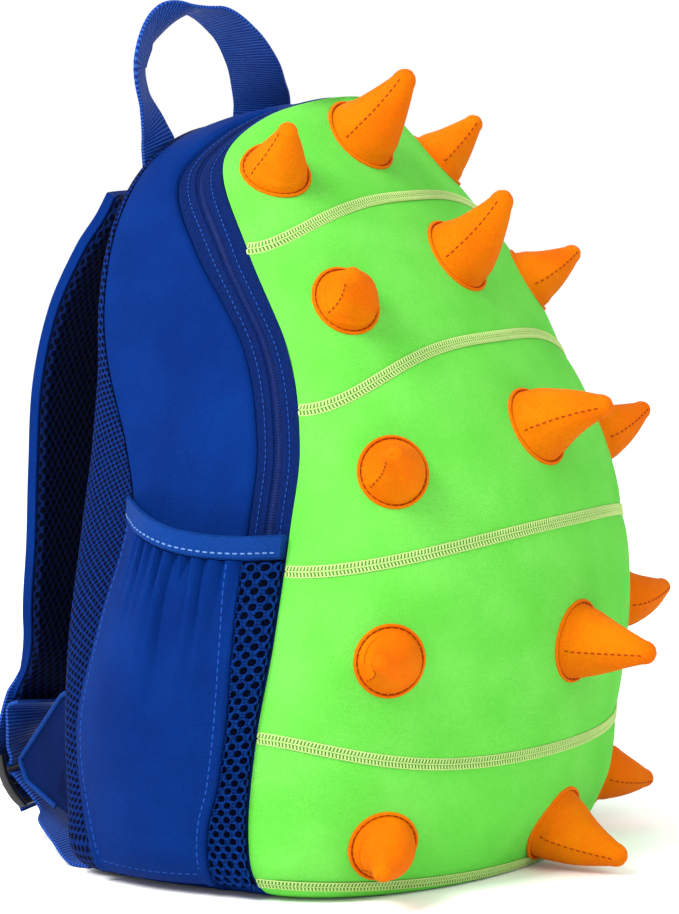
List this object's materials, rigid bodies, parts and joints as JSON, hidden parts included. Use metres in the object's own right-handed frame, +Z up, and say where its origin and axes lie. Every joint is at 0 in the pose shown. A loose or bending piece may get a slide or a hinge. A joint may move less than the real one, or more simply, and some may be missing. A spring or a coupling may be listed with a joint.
{
  "type": "child's spiked animal backpack",
  "caption": "Child's backpack with a rounded green ribbed front, rows of soft orange spikes, a zipped blue body, side pockets, padded straps and a top handle",
  "frame": {"origin": "the middle of the flat base, on the surface that the bag stands on", "axes": "+Z up through the bag, +Y towards the back panel and the wearer, -Y towards the green front, +X to the bag's right as seen from the front"},
  "size_m": [0.2832, 0.2834, 0.3602],
  "materials": {
    "green_neoprene": "matt stretch knit over foam",
    "orange_neoprene": "matt stretch knit over foam",
    "blue_neoprene": "matt stretch knit over foam",
    "navy_mesh": "matt open air mesh",
    "blue_binding": "matt elastic binding",
    "blue_webbing": "woven, slightly shiny",
    "zip_tape": "woven twill",
    "zip_coil": "satin",
    "zip_metal": "satin paint",
    "black_plastic": "satin"
  },
  "bodies": {
    "root": {"shell_panel_1": "green_neoprene", "shell_panel_2": "green_neoprene", "shell_panel_3": "green_neoprene", "shell_panel_4": "green_neoprene", "shell_panel_5": "green_neoprene", "shell_underside": "green_neoprene", "spike_1_left": "orange_neoprene", "spike_1_middle": "orange_neoprene", "spike_1_right": "orange_neoprene", "spike_2_left": "orange_neoprene", "spike_2_middle": "orange_neoprene", "spike_2_right": "orange_neoprene", "spike_3_left": "orange_neoprene", "spike_3_middle": "orange_neoprene", "spike_3_right": "orange_neoprene", "spike_4_left": "orange_neoprene", "spike_4_middle": "orange_neoprene", "spike_4_right": "orange_neoprene", "spike_5_left": "orange_neoprene", "spike_5_middle": "orange_neoprene", "spike_5_right": "orange_neoprene", "gusset": "blue_neoprene", "base_panel": "blue_neoprene", "front_strip_left": "blue_neoprene", "front_strip_right": "blue_neoprene", "pocket_left": "blue_neoprene", "pocket_right": "blue_neoprene", "strap_left": "blue_neoprene", "strap_right": "blue_neoprene", "side_tab_left": "blue_neoprene", "side_tab_right": "blue_neoprene", "back_panel": "navy_mesh", "pocket_mesh_left": "navy_mesh", "pocket_mesh_right": "navy_mesh", "strap_lining_left": "navy_mesh", "strap_lining_right": "navy_mesh", "pocket_binding_left": "blue_binding", "pocket_binding_right": "blue_binding", "handle": "blue_webbing", "strap_webbing_left": "blue_webbing", "strap_webbing_right": "blue_webbing", "adjust_webbing_left": "blue_webbing", "adjust_webbing_right": "blue_webbing", "zip_tape_outer": "zip_tape", "zip_tape_inner": "zip_tape", "zip_coil": "zip_coil", "zip_slider": "zip_metal", "ladder_lock_left": "black_plastic", "ladder_lock_right": "black_plastic"}
  },
  "joints": []
}
